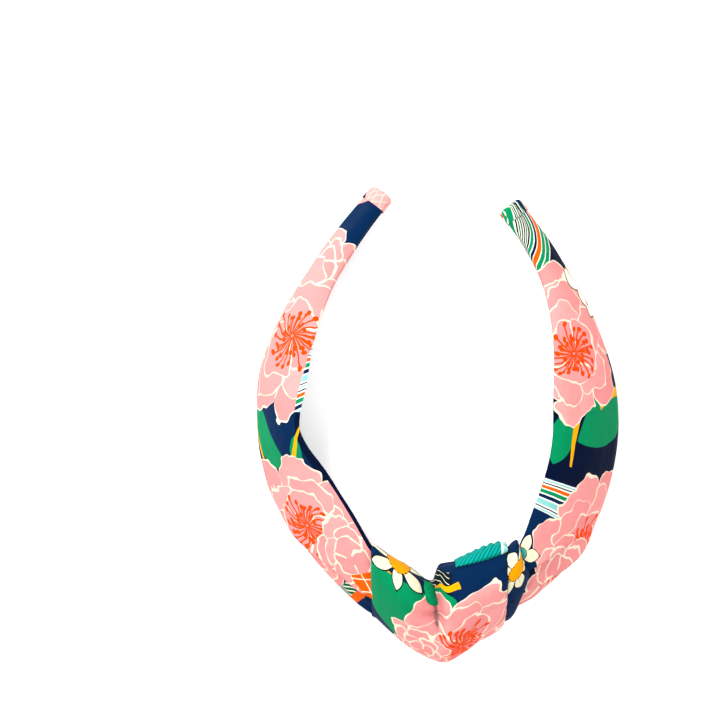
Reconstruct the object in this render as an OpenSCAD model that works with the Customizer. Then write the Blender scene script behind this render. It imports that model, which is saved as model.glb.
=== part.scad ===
// Knotted fabric headband, lying on the lower edges of its sleeves.
// A springy plastic strip bends round in a U. A printed cloth sleeve covers each arm,
// and the two sleeves meet in a soft knot at the middle of the U.
// +X is to the right of the knot, +Y runs from the knot to the tips, +Z is up.
// The strip leans inward at its top, so the outer faces of the sleeves face up a little.

/* [Plan of the U] */
// Reach of the strip's middle line to the right of the knot
right_reach = 54.5; // [47:0.5:66]
// Reach of the strip's middle line to the left of the knot
left_reach = 59.5; // [50:0.5:72]
// Distance of the right tip from the middle of the U, along X
right_tip_x = 26; // [18:0.5:34]
// Distance of the left tip from the middle of the U, along X
left_tip_x = 20.5; // [15:0.5:30]
// Height of the right tip above the middle of the U, along Y
right_tip_y = 81; // [67:1:98]
// Height of the left tip above the middle of the U, along Y
left_tip_y = 86; // [71:1:104]
// Where the right sleeve enters the knot, along X
right_entry_x = 28.5; // [25:0.5:34]
// Where the left sleeve enters the knot, along X
left_entry_x = 23.5; // [20:0.5:28]
// Where the right sleeve enters the knot, below the middle of the U
right_entry_drop = 58; // [50:0.5:69]
// Where the left sleeve enters the knot, below the middle of the U
left_entry_drop = 61; // [51:0.5:73]

/* [Core strip] */
// Width of the plastic strip at the knot
core_w = 25; // [20:0.5:30]
// Width of the plastic strip at its tips
core_tip_w = 7; // [5:0.5:8.5]
// Thickness of the plastic strip
core_t = 1.6; // [1.2:0.1:2.2]
// Thickness of the foam strip on the outer face
foam_t = 2; // [1:0.1:2.5]
// Width of the foam strip as a share of the plastic strip's width
foam_share = 0.72; // [0.5:0.01:0.8]

/* [Sleeves] */
// Width of the pressed sleeve between its two creases, at its widest
sleeve_w = 38; // [31:0.5:46]
// Thickness of the sleeve's cloth with its lining
cloth_t = 0.8; // [0.6:0.05:1]
// Free room between the strip and the sleeve's back
back_room = 1.4; // [1.1:0.1:2]
// Free room between the foam and the sleeve's front
front_room = 1.3; // [1.1:0.1:2.5]
// Free room between each edge of the strip and the sleeve's creases
edge_room = 3.2; // [2.8:0.1:4]
// Length of the fold that closes each sleeve's end
tip_fold_l = 4.5; // [3:0.5:6]
// Lean of the right sleeve away from upright
right_lean = 46; // [39:1:50]
// Lean of the left sleeve away from upright
left_lean = 34; // [29:1:41]
// Lean of the left sleeve where it twists, at its widest reach
twist_lean = 26; // [22:1:31]
// Lean of both sleeves at their tips
tip_lean = 30; // [25:1:36]
// Lean of the strip inside the knot
knot_lean = 39; // [34:1:44]

/* [Knot] */
// Height of the knot along the strip's width
knot_w = 46; // [42:0.5:50]
// How far the knot stands out in front of the strip
knot_front = 19; // [16:0.5:22]
// How far the knot stands out behind the strip
knot_back = 13; // [10:0.5:15]
// Depth of the valley between the knot's two lobes
valley_depth = 6; // [4:0.5:7]
// Height that the knot lifts the strip above the sleeves' lowest line
knot_lift = 6; // [5:0.5:8]
// Reach of the knot to the left of the middle of the U
knot_left = 25.5; // [22:0.5:30]
// Reach of the knot to the right of the middle of the U
knot_right = 31; // [27:0.5:37]
// Width of the band between the knot's wrap and the right sleeve
side_band_w = 6.5; // [4:0.5:8]
// Gap beside the knot that leaves each arm free to flex
flex_gap = 1.4; // [1.3:0.1:2.5]

/* [Stitches] */
// Thickness of the sewing thread
thread_d = 0.6; // [0.4:0.1:0.8]
// Length of one stitch
stitch_l = 3; // [2:0.5:4]
// Stitches in each sleeve's back seam
seam_count = 18; // [12:1:24]

/* [Hidden] */

gap = 0.3;              // clearance between two soft pieces that lie on each other
glue_gap = 0.25;        // room for the glue between the strip and the foam
corner_room = 0.15;     // room between the strip's corners and the sleeve's back
crown_share = 0.16;     // share of each half of the strip that lies inside the knot
shoulder = 0.42;        // place of an arm's widest reach, from 0 at the knot to 1 at the tip
right_entry_angle = 40; // direction in which the right arm leaves the knot
left_entry_angle = 131; // direction in which the left arm leaves the knot
right_tip_angle = 129;  // direction of the right arm at its tip
left_tip_angle = 50;    // direction of the left arm at its tip
core_end = 0.955;       // place on the arm where the strip ends
foam_end = 0.85;        // place on the arm where the foam ends
ring = 32;              // points round a section
arm_rings = 34;         // sections along a sleeve
arm_l = 160;            // length of one arm, near enough to turn a length into a share

// Width of each sleeve as a share of sleeve_w, from the knot to the tip
right_fullness = [[0, 0.75], [0.14, 0.95], [0.25, 1], [0.45, 1], [0.53, 0.93], [0.63, 0.8],
    [0.7, 0.7], [0.8, 0.45], [1, 0.3]];
left_fullness = [[0, 0.75], [0.12, 0.97], [0.26, 1], [0.34, 0.95], [0.42, 0.9], [0.5, 0.94],
    [0.62, 0.74], [0.7, 0.6], [0.8, 0.4], [1, 0.3]];
// Share of edge_room that is left where the knot pulls the sleeve tight
edge_share = [[0, 0.9], [0.15, 1]];
// How boxy the sleeve's section is: 2 is a lens and 6 is nearly a rectangle
boxiness = [[0, 4], [0.15, 3], [0.6, 3], [0.8, 4.5], [1, 6]];

// Smooth curve through points, as a cubic with two end points and two handles
function cubic(p, t) = pow(1 - t, 3) * p[0] + 3 * t * pow(1 - t, 2) * p[1]
    + 3 * t * t * (1 - t) * p[2] + t * t * t * p[3];
function heading(a) = [cos(a), sin(a)];
// Table value with its corners rounded over a short stretch
function eased(s, table, h = 0.03) =
    (lookup(s - h, table) + lookup(s, table) + lookup(s + h, table)) / 3;
function ramp(a, b, x) = let (t = min(1, max(0, (x - a) / (b - a)))) t * t * (3 - 2 * t);

right_entry = [right_entry_x, -right_entry_drop];
left_entry = [-left_entry_x, -left_entry_drop];
right_tip = [right_tip_x, right_tip_y];
left_tip = [-left_tip_x, left_tip_y];
right_low = [right_entry, right_entry + 0.33 * right_entry_drop * heading(right_entry_angle),
    [right_reach, -0.4 * right_entry_drop], [right_reach, 0]];
right_high = [[right_reach, 0], [right_reach, 0.4 * right_tip_y],
    right_tip - 0.38 * right_tip_y * heading(right_tip_angle), right_tip];
left_low = [left_entry, left_entry + 0.41 * left_entry_drop * heading(left_entry_angle),
    [-left_reach, -0.3 * left_entry_drop], [-left_reach, 0]];
left_high = [[-left_reach, 0], [-left_reach, 0.38 * left_tip_y],
    left_tip - 0.38 * left_tip_y * heading(left_tip_angle), left_tip];
crown_handle = 0.32 * (right_entry_x + left_entry_x);
crown = [left_entry, left_entry - crown_handle * heading(left_entry_angle),
    right_entry - crown_handle * heading(right_entry_angle), right_entry];

function arm_point(low, high, s) = s < shoulder ? cubic(low, s / shoulder)
    : cubic(high, (s - shoulder) / (1 - shoulder));
// Middle line of the strip in plan: q runs from -1 at the left tip to 1 at the right tip
function along(q) = (abs(q) - crown_share) / (1 - crown_share);
function plan(q) = abs(q) <= crown_share ? cubic(crown, (q / crown_share + 1) / 2)
    : q > 0 ? arm_point(right_low, right_high, along(q))
    : arm_point(left_low, left_high, along(q));
function outward(q) = let (d = plan(q + 0.002) - plan(q - 0.002)) [d[1], -d[0]] / norm(d);

function lean(q) = let (s = along(q)) q > 0
    ? eased(s, [[0, knot_lean], [0.15, right_lean], [0.5, right_lean], [0.85, tip_lean + 2], [1, tip_lean]])
    : eased(s, [[0, knot_lean], [0.26, knot_lean + 1], [0.34, twist_lean + 5],
        [0.42, twist_lean], [0.52, left_lean], [0.62, left_lean], [1, tip_lean]]);
function core_width(q) = core_w - (core_w - core_tip_w) * pow(max(0, along(q)), 1.1);
// Narrowest sleeve whose bowed back still clears the corners of the strip
function least_width(q) = 3 * cloth_t + core_width(q)
    / pow(1 - (core_t / 2 + corner_room) / (sleeve_back(q) - cloth_t), 1 / box_power(q));
function sleeve_width(q) = max(core_width(q) + 2 * edge_room * eased(along(q), edge_share),
    least_width(q), sleeve_w * eased(along(q), q > 0 ? right_fullness : left_fullness));
function sleeve_front(q) = core_t / 2 + cloth_t + front_room
    + foam_t * eased(along(q), [[0.6, 1], [foam_end, 0.6], [1, 0.1]]);
function sleeve_back(q) = core_t / 2 + cloth_t + back_room
    + eased(along(q), [[0, 0.6], [0.15, 0], [0.8, 0], [1, -0.4]]);
function box_power(q) = eased(along(q), boxiness);
// Height of the strip's middle line: the sleeve's lower crease lies on the ground, and the
// knot lifts it
function mid_height(q) = gap / 4 + sleeve_width(q) / 2 * cos(lean(q))
    + knot_lift * (1 - ramp(0, 0.32, along(q)));

// A point of the section at q: w runs up the sleeve's width and n out through its front
function place(q, w, n) = let (o = outward(q), c = plan(q), a = lean(q))
    [c[0] + (n * cos(a) - w * sin(a)) * o[0],
     c[1] + (n * cos(a) - w * sin(a)) * o[1],
     mid_height(q) + w * cos(a) + n * sin(a)];
// One closed section: two bowed faces that meet in a crease at the top and the bottom
function bowed(w, front, back, power, round = 1) = [for (i = [0:ring - 1])
    let (a = 360 * i / ring, v = sin(a), h = pow(max(0, 1 - pow(abs(v), power)), 1 / round))
    [v * w / 2, (cos(a) >= 0 ? front : -back) * h]];
function put(q, section) = [for (p = section) place(q, p[0], p[1])];

// Triangles between ring a and ring b of a stack of rings
function band(a, b, n, flip = false) = [for (i = [0:n - 1])
    let (j = (i + 1) % n, f = [a * n + i, b * n + i, b * n + j, a * n + j])
    each flip ? [[f[0], f[2], f[1]], [f[0], f[3], f[2]]] : [[f[0], f[1], f[2]], [f[0], f[2], f[3]]]];
function joined(lists) = [for (l = lists) each l];

// A tube: outer and inner are equal lists of rings
module tube(outer, inner) {
    k = len(outer);
    n = len(outer[0]);
    skin = joined([for (i = [0:k - 2]) band(i, i + 1, n)]);
    lining = joined([for (i = [0:k - 2]) band(k + i, k + i + 1, n, true)]);
    ends = concat(band(0, k, n, true), band(k - 1, 2 * k - 1, n));
    polyhedron(concat(joined(outer), joined(inner)), concat(skin, lining, ends), convexity = 8);
}

// A flat end over the ring that starts at point a: its first half is zipped to its second half
function lid(a, n, flip = false) = [for (i = [0:n / 2 - 2])
    let (f = [a + i, a + i + 1, a + n - 2 - i, a + n - 1 - i])
    each flip ? [[f[0], f[2], f[1]], [f[0], f[3], f[2]]] : [[f[0], f[1], f[2]], [f[0], f[2], f[3]]]];

// A closed solid through a stack of rings, with flat ends
module bar(rings) {
    k = len(rings);
    n = len(rings[0]);
    skin = joined([for (i = [0:k - 2]) band(i, i + 1, n)]);
    polyhedron(joined(rings), concat(skin, lid(0, n), lid((k - 1) * n, n, true)), convexity = 8);
}

function steps(a, b, count) = [for (i = [0:count]) a + (b - a) * i / count];

// Plastic strip, one piece from tip to tip, with rounded ends
function strip_section(q, w, n0, n1) = put(q, [[-w / 2, n0], [w / 2, n0], [w / 2, n1], [-w / 2, n1]]);
tip_round = 0.02;
core_q = crown_share + core_end * (1 - crown_share);
foam_q = crown_share + foam_end * (1 - crown_share);
strip_stations = steps(-core_q + tip_round, core_q - tip_round, 76);
module core_band() {
    stations = concat([for (i = [0:3]) -core_q + tip_round * (1 - cos(22.5 * i))],
        strip_stations,
        [for (i = [3:-1:0]) core_q - tip_round * (1 - cos(22.5 * i))]);
    color("white") bar([for (q = stations)
        let (near = min(1, (core_q - abs(q)) / tip_round),
            w = core_width(q) * (0.35 + 0.65 * sqrt(max(0, 1 - pow(1 - near, 2)))))
        strip_section(q, w, -core_t / 2, core_t / 2)]);
}

module foam_strip() {
    color("lightyellow") bar([for (q = strip_stations) if (abs(q) < foam_q)
        let (t = foam_t * lookup(along(q), [[0.6, 1], [foam_end, 0.5]]))
        strip_section(q, foam_share * core_width(q), core_t / 2 + glue_gap, core_t / 2 + glue_gap + t)]);
}

function sleeve_outer(q) = bowed(sleeve_width(q), sleeve_front(q), sleeve_back(q), box_power(q));
function sleeve_inner(q) = bowed(sleeve_width(q) - 3 * cloth_t, sleeve_front(q) - cloth_t,
    sleeve_back(q) - cloth_t, box_power(q));

cover_start = crown_share + flex_gap / arm_l;
cover_end = 1 - tip_fold_l / arm_l;
slant_end = 0.42;       // where a sleeve's sections stand square to the strip again
// The sleeve's end at the knot is cut upright along Y, so its sections turn from that cut,
// which the strip meets slantwise, to square ones
function slanted(q, section) = let (side = sign(q),
        x = side > 0 ? knot_right + flex_gap : -knot_left - flex_gap,
        t = (slant_end - abs(q)) / (slant_end - cover_start))
    t <= 0 ? put(q, section)
    : [for (p = section) let (cut = met(x, p[0], p[1], side * cover_start), turn = t * t)
        place(q + (cut - side * cover_start) * turn, p[0], p[1])];

// side is 1 for the right arm and -1 for the left one
module cover(side) {
    stations = steps(side > 0 ? cover_start : -cover_end, side > 0 ? cover_end : -cover_start,
        arm_rings);
    tube([for (q = stations) slanted(q, sleeve_outer(q))],
        [for (q = stations) slanted(q, sleeve_inner(q))]);
}

module cover_left() {
    color("navy") cover(-1);
}

module cover_right() {
    color("navy") cover(1);
}

// The sleeve's end, folded in on itself and glued: a boxy pad past the end of the strip
module tip_fold(side) {
    shares = [0, 0.3, 0.6, 0.85, 1];
    stations = [for (t = side > 0 ? shares : [1, 0.85, 0.6, 0.3, 0])
        [side * (cover_end + gap / arm_l + t * (1 - cover_end)), 1 - 0.35 * t * t * t]];
    bar([for (p = stations) put(p[0], bowed(p[1] * sleeve_width(p[0]), p[1] * sleeve_front(p[0]),
        p[1] * sleeve_back(p[0]), box_power(p[0])))]);
}

module tip_fold_left() {
    color("lightpink") tip_fold(-1);
}

module tip_fold_right() {
    color("darkolivegreen") tip_fold(1);
}

// The knot is drawn in planes across X. x runs from the left sleeve to the right one, and a
// goes round the knot, from 0 at its front through 90 at its top to 180 at its back.
wrap_right = knot_right - side_band_w - gap;
knot_mid = (knot_right - knot_left) / 2;
valley_x = -2;          // place of the valley between the lobes
valley_w = 4.5;         // half width of the valley
wrap_ends = [0.93, 0.58, 0.86];  // width, front and back left at the wrap's ends, as shares
band_sizes = [0.93, 0.56, 0.86]; // width, front and back of the side band, as shares
lobe_dip = 0.12;        // how much slimmer the wrap is beside its lobes
pad_edge = 0.8;         // thickness of a pad at its edges
// Fullness of the knot, 1 at its middle and 0 at its ends
function swell(x) = 1 - pow(min(1, abs(x - knot_mid) / (0.5 * (knot_right + knot_left))), 1.5);
function valley(x, a) = valley_depth * exp(-pow((x - valley_x) / valley_w, 2))
    * ramp(-40, 70, a) * (1 - ramp(180, 230, a));
function dome(x, x0, x1) = pow(sin(180 * min(1, max(0, 0.5 + 0.42 * (2 * (x - x0) / (x1 - x0) - 1)))), 0.4);
function lobes(x) = x < valley_x ? dome(x, -knot_left, valley_x) : dome(x, valley_x, wrap_right);
function knot_size(x, end) = end + (1 - end) * swell(x);
// The passage for the strip, cut by the same plane: q is moved until the point lies at x
function met(x, w, n, q, tries = 4) = tries == 0 ? q
    : let (p = place(q, w, n), slope = (place(q + 0.004, w, n)[0] - p[0]) / 0.004)
        met(x, w, n, q + (x - p[0]) / slope, tries - 1);
function start_q(x) = (x - knot_mid) / (knot_right + knot_left) * 2 * crown_share;
function passage_edge(x, side) = let (w = side * core_w / 2) place(met(x, w, 0, start_q(x)), w, 0);
function passage_middle(x) = (passage_edge(x, -1) + passage_edge(x, 1)) / 2;
// Point of the knot at x: w up its width and n out through its front
function knot_place(x, w, n) = passage_middle(x)
    + [0, w * sin(knot_lean) - n * cos(knot_lean), w * cos(knot_lean) + n * sin(knot_lean)];
// The underside is pressed flat where the knot rests
function pressed(p) = [p[0], p[1], max(p[2], 0)];
function wrap_point(x, a, lift = 0) = let (
        w = knot_w / 2 * knot_size(x, wrap_ends[0]) * sin(a),
        depth = cos(a) > 0 ? knot_front * knot_size(x, wrap_ends[1])
            : knot_back * knot_size(x, wrap_ends[2]),
        n = depth * cos(a),
        slim = 1 - lobe_dip * (1 - lobes(x)) * ramp(-60, 60, a),
        k = slim + (lift - valley(x, a)) / norm([w, n]))
    pressed(knot_place(x, w * k, n * k));
function turned(a) = a < -50 ? a + 360 : a;
knot_hole = bowed(core_w + 0.75 * edge_room, sleeve_front(0) - cloth_t, sleeve_back(0) - cloth_t, 8);
function hole_at(x) = [for (p = knot_hole) place(met(x, p[0], p[1], start_q(x)), p[0], p[1])];

module knot_wrap() {
    stations = steps(-knot_left, wrap_right, 26);
    color("lightpink") tube(
        [for (x = stations) [for (i = [0:ring - 1]) wrap_point(x, turned(360 * i / ring))]],
        [for (x = stations) hole_at(x)]);
}

// A pad that lies on the wrap between x0 and x1, and between the angles a0 and a1
module pad_on_wrap(x0, x1, a0, a1, thick, lift = gap, rows = 14, columns = 22) {
    inner = [for (x = steps(x0, x1, rows)) [for (a = steps(a0, a1, columns)) wrap_point(x, a, lift)]];
    outer = [for (i = [0:rows]) [for (j = [0:columns])
        let (s = sin(180 * i / rows), t = sin(180 * j / columns))
        wrap_point(x0 + (x1 - x0) * i / rows, a0 + (a1 - a0) * j / columns,
            lift + pad_edge + thick * sqrt(max(0, s * t)))]];
    bar([for (i = [0:rows]) concat([for (j = [0:columns]) outer[i][j]],
        [for (j = [columns:-1:0]) inner[i][j]])]);
}

module knot_underpass() {
    color("seagreen") pad_on_wrap(valley_x - 3.5, valley_x + 3.5, 20, 130, 1.6, 2.5 * gap);
}

module knot_inner_fold() {
    color("mediumaquamarine") pad_on_wrap(6, wrap_right - 0.5, 90, 152, 4.5);
}

module knot_side_band() {
    stations = steps(wrap_right + gap, knot_right, 6);
    color("moccasin") tube(
        [for (x = stations) let (f = 0.97 + 0.03 * sin(180 * (x - stations[0]) / side_band_w))
            [for (p = bowed(f * band_sizes[0] * knot_w, f * band_sizes[1] * knot_front,
                f * band_sizes[2] * knot_back, 2.4, 1.8)) pressed(knot_place(x, p[0], p[1]))]],
        [for (x = stations) hole_at(x)]);
}

// One straight stitch that lies along the strip, on the back face
module stitch(q, w, n, length = stitch_l, across = false) {
    half = length / 2 / arm_l;
    a = across ? place(q, w - length / 2, n) : place(q - half, w, n);
    b = across ? place(q, w + length / 2, n) : place(q + half, w, n);
    d = b - a;
    translate(a)
        rotate([0, acos(d[2] / norm(d)), atan2(d[1], d[0])])
            cylinder(d = thread_d, h = norm(d), $fn = 16);
}

module seam(side) {
    for (i = [0:seam_count - 1]) {
        q = side * (cover_start + 0.06 + (cover_end - cover_start - 0.09) * i / (seam_count - 1));
        stitch(q, 0, -sleeve_back(q) - thread_d / 2 - glue_gap);
    }
}

module seam_stitches_left() {
    color("midnightblue") seam(-1);
}

module seam_stitches_right() {
    color("midnightblue") seam(1);
}

module tip_stitches(side) {
    q = side * (cover_end + gap / arm_l / 2);
    for (w = [-3, -1, 1, 3])
        stitch(q, w, -sleeve_back(q) - thread_d / 2 - glue_gap, 2);
}

module tip_stitches_left() {
    color("midnightblue") tip_stitches(-1);
}

module tip_stitches_right() {
    color("midnightblue") tip_stitches(1);
}

module knot_tack_stitches() {
    color("midnightblue") for (w = [-8, 0, 8])
        stitch(start_q(wrap_right), w, -knot_back - thread_d, 4);
}

core_band();
foam_strip();
cover_left();
cover_right();
tip_fold_left();
tip_fold_right();
knot_wrap();
knot_underpass();
knot_inner_fold();
knot_side_band();
seam_stitches_left();
seam_stitches_right();
tip_stitches_left();
tip_stitches_right();
knot_tack_stitches();
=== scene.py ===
# %% [markdown]
# # A knotted fabric headband
# The CAD model fixes the frame: the springy strip, the two arms that flex beside the knot, and
# the room that each piece of cloth takes up. This lesson dresses it. Every piece is made in the
# CAD model's own frame, in metres, so nothing has to be fitted afterwards.

# %% Load the frame
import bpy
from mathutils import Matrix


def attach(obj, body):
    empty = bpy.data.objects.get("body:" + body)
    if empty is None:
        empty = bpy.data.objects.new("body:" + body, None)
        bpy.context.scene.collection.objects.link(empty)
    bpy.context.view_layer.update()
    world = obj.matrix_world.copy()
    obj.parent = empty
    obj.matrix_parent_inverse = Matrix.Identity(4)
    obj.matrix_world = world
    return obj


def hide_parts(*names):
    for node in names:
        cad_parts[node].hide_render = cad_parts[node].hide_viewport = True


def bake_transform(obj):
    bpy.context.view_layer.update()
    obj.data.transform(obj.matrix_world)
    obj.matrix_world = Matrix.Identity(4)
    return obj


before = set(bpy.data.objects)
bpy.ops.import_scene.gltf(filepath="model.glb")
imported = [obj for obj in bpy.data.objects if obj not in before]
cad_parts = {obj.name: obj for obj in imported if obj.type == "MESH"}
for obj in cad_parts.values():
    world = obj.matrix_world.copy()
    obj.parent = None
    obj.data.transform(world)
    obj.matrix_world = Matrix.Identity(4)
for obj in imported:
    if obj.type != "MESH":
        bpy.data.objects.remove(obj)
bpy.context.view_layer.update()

import math
import bpy
import numpy as np

MM = 0.001

# %% [markdown]
# ## The line that everything follows
# Inside the cloth one plastic strip bends round in a U. The sleeves, the seams and the printed
# pattern all follow it, so it comes first, as smooth curves through a few driving sizes, which
# are the CAD model's own. Distances along it are counted from the middle of the knot, below
# zero to the left and above zero to the right, so that a place on the cloth is a number of
# millimetres, as a sewer would measure it.

# %% The strip's middle line
RIGHT_REACH, LEFT_REACH = 54.5, 59.5
RIGHT_TIP, LEFT_TIP = np.array([26, 81]), np.array([-20.5, 86])
RIGHT_ENTRY, LEFT_ENTRY = np.array([28.5, -58]), np.array([-23.5, -61])
CROWN_SHARE, SHOULDER = 0.16, 0.42


def heading(degrees):
    return np.array([math.cos(math.radians(degrees)), math.sin(math.radians(degrees))])


def cubic(points, t):
    a, b, c, d = [np.asarray(p, float) for p in points]
    t = np.asarray(t, float)[..., None]
    return (1 - t) ** 3 * a + 3 * t * (1 - t) ** 2 * b + 3 * t * t * (1 - t) * c + t**3 * d


def arm_line(entry, reach, tip, entry_angle, tip_angle, entry_pull, low_pull, high_pull, s):
    """A point of one arm, from 0 at the knot to 1 at the tip."""
    drop, height = -entry[1], tip[1]
    low = [entry, entry + entry_pull * drop * heading(entry_angle), [reach, -low_pull * drop], [reach, 0]]
    high = [[reach, 0], [reach, high_pull * height], tip - 0.38 * height * heading(tip_angle), tip]
    return np.where((s < SHOULDER)[..., None], cubic(low, s / SHOULDER),
                    cubic(high, (s - SHOULDER) / (1 - SHOULDER)))


def along(q):
    """From 0 at the knot to 1 at a tip; q runs from -1 at the left tip to 1 at the right one."""
    return (np.abs(q) - CROWN_SHARE) / (1 - CROWN_SHARE)


def plan(q):
    q = np.asarray(q, float)
    s = np.clip(along(q), 0, 1.2)
    pull = 0.32 * (RIGHT_ENTRY[0] - LEFT_ENTRY[0])
    crown = cubic([LEFT_ENTRY, LEFT_ENTRY - pull * heading(131), RIGHT_ENTRY - pull * heading(40), RIGHT_ENTRY],
                  (q / CROWN_SHARE + 1) / 2)
    right = arm_line(RIGHT_ENTRY, RIGHT_REACH, RIGHT_TIP, 40, 129, 0.33, 0.4, 0.4, s)
    left = arm_line(LEFT_ENTRY, -LEFT_REACH, LEFT_TIP, 131, 50, 0.41, 0.3, 0.38, s)
    return np.where((np.abs(q) <= CROWN_SHARE)[..., None], crown, np.where((q > 0)[..., None], right, left))


def outward(q):
    d = plan(q + 0.002) - plan(q - 0.002)
    d = d / np.linalg.norm(d, axis=-1, keepdims=True)
    return np.stack([d[..., 1], -d[..., 0]], -1)


line_q = np.linspace(-1, 1, 4001)
line_step = np.linalg.norm(np.diff(plan(line_q), axis=0), axis=1)
line_mm = np.concatenate([[0], np.cumsum(line_step)])
line_mm -= np.interp(0, line_q, line_mm)


def mm_at(q):
    return np.interp(q, line_q, line_mm)


print("strip length in mm", round(line_mm[-1] - line_mm[0], 1),
      "from", round(line_mm[0]), "to", round(line_mm[-1]))

# %% [markdown]
# ## The sleeves
# Each arm is a flat tube of printed cotton, pressed so that it meets in a crease at the top and
# at the bottom. It leans inward at its top, which is why the front face shows from above. The
# widths, the leans and the room for the foam are the CAD model's. A table holds each one from
# the knot, 0, to the tip, 1, and its corners are rounded, as cloth rounds them.

# %% Sections of the sleeves
CORE_W, CORE_TIP_W, CORE_T, FOAM_T, FOAM_SHARE = 25, 7, 1.6, 2, 0.72
SLEEVE_W, CLOTH_T, BACK_ROOM, FRONT_ROOM, EDGE_ROOM = 38, 0.8, 1.4, 1.3, 3.2
KNOT_W, KNOT_FRONT, KNOT_BACK, KNOT_LIFT = 46, 19, 13, 6
KNOT_LEFT, KNOT_RIGHT, BAND_W, GAP, LEAN = 25.5, 31, 6.5, 0.3, 39
FULL_RIGHT = [(0, .75), (.14, .95), (.25, 1), (.45, 1), (.53, .93), (.63, .8), (.7, .7), (.8, .45), (1, .3)]
FULL_LEFT = [(0, .75), (.12, .97), (.26, 1), (.34, .95), (.42, .9), (.5, .94), (.62, .74), (.7, .6),
             (.8, .4), (1, .3)]


def eased(s, table):
    xs, ys = zip(*table)
    return sum(np.interp(s + h, xs, ys) for h in (-0.03, 0, 0.03)) / 3


def ramp(a, b, x):
    t = np.clip((x - a) / (b - a), 0, 1)
    return t * t * (3 - 2 * t)


def lean(q):
    s = along(q)
    right = eased(s, [(0, LEAN), (.15, 46), (.5, 46), (.85, 32), (1, 30)])
    left = eased(s, [(0, LEAN), (.26, LEAN + 1), (.34, 31), (.42, 26), (.52, 34), (.62, 34), (1, 30)])
    return np.radians(np.where(q > 0, right, left))


def core_width(q):
    return CORE_W - (CORE_W - CORE_TIP_W) * np.maximum(0, along(q)) ** 1.1


def sleeve_width(q):
    s = along(q)
    full = np.where(q > 0, eased(s, FULL_RIGHT), eased(s, FULL_LEFT))
    return np.maximum(core_width(q) + 2 * EDGE_ROOM * eased(s, [(0, .9), (.15, 1)]), SLEEVE_W * full)


def sleeve_front(q):
    return CORE_T / 2 + CLOTH_T + FRONT_ROOM + FOAM_T * eased(along(q), [(.6, 1), (.85, .6), (1, .1)])


def sleeve_back(q):
    return CORE_T / 2 + CLOTH_T + BACK_ROOM + eased(along(q), [(0, .6), (.15, 0), (.8, 0), (1, -.4)])


def place(q, w, n):
    """A point of the section at q, in mm: w runs up the sleeve's width and n out through its front."""
    o, c, a = outward(q), plan(q), lean(q)
    side = n * np.cos(a) - w * np.sin(a)
    middle = GAP / 4 + sleeve_width(q) / 2 * np.cos(a) + KNOT_LIFT * (1 - ramp(0, .32, along(q)))
    return np.stack([c[..., 0] + side * o[..., 0], c[..., 1] + side * o[..., 1],
                     middle + w * np.cos(a) + n * np.sin(a)], -1)


def met(x, w, n, q):
    """Moves q until the point lies in the upright plane at x."""
    for _ in range(6):
        p = place(q, w, n)[..., 0]
        q = q + (x - p) * 0.004 / (place(q + 0.004, w, n)[..., 0] - p)
    return q


def bowed(turn, width, front, back, power):
    """Two bowed faces that meet in a crease: (w, n) for each turn, 0 at the middle of the front."""
    h = np.maximum(0, 1 - np.abs(np.sin(turn)) ** power)
    return np.sin(turn) * width / 2, np.where(np.cos(turn) >= 0, front, -back) * h


def round_rings(grid, front):
    """Distance round each ring, in mm, from its point number front."""
    step = np.linalg.norm(grid - np.roll(grid, 1, 1), axis=-1)
    round_mm = np.cumsum(step, axis=1)
    return round_mm - round_mm[:, front:front + 1]


def unit(v):
    return v / np.maximum(np.linalg.norm(v, axis=-1, keepdims=True), 1e-9)


def ring_normals(grid):
    """Outward directions of a grid of rings, which close on themselves."""
    round_way = np.roll(grid, -1, 1) - np.roll(grid, 1, 1)
    return unit(np.cross(round_way, np.gradient(grid, axis=0)))


NO_FOLD = 6.0  # the "fold" value of cloth that no pleat touches
ROWS, RING = 300, 160
cloth_turn = (np.arange(RING) / RING + 0.5) % 1 * 2 * math.pi  # starts at the back seam


def sleeve_surface(side):
    """The pressed sleeve: points, the distance along it and the distance round it."""
    start, stop, cut_x = 0.144, 0.975, (KNOT_RIGHT - 3 if side > 0 else 3 - KNOT_LEFT)
    q = side * (start + (stop - start) * np.linspace(0, 1, ROWS) ** 1.15)[:, None]
    turn = cloth_turn[None, :] + 0 * q
    w, n = bowed(turn, sleeve_width(q), sleeve_front(q), sleeve_back(q),
                 eased(along(q), [(0, 4), (.15, 3), (.6, 3), (.8, 4.5), (1, 6)]))
    squeeze = ramp(0.14, 0.19, np.abs(q))
    w, n = w * (0.86 + 0.14 * squeeze), n * (0.8 + 0.2 * squeeze)
    t = np.clip((0.42 - np.abs(q)) / (0.42 - start), 0, 1)
    cut = met(cut_x, w, n, side * start + 0 * w)
    points = place(q + (cut - side * start) * t * t, w, n)
    return points, mm_at(q + (cut - side * start) * t * t), round_rings(points, RING // 2)

# %% [markdown]
# ## The knot
# The two sleeves are wound over each other into one soft roll. It has two lobes with a valley
# between them, where the cloth dips under itself. The CAD model draws it in upright planes across
# X, and so does this: at each x the roll goes round the passage that the strip runs through.
# Its two ends are tucked in. The right lobe rolls over the left one in a steeper fold, and the low
# front is pulled in to a point.

# %% Sections of the knot
WRAP_RIGHT = KNOT_RIGHT - BAND_W - GAP
KNOT_MIDDLE = (KNOT_RIGHT - KNOT_LEFT) / 2
VALLEY_X, VALLEY_W, VALLEY_DEPTH = -2, 4.5, 6
waves = np.random.default_rng(7)
WAVES = [(waves.uniform(0, 6.28), waves.uniform(-1, 1), waves.uniform(0.5, 1.5)) for _ in range(10)]


def ripples(x, y):
    """Soft uneven waves, about 1 high and 1 long, that run mostly along x."""
    return sum(np.sin(k * (6.28 * y + 1.3 * slant * x) + phase) for phase, slant, k in WAVES) / 4


def start_q(x):
    return (x - KNOT_MIDDLE) / (KNOT_RIGHT + KNOT_LEFT) * 2 * CROWN_SHARE


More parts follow.
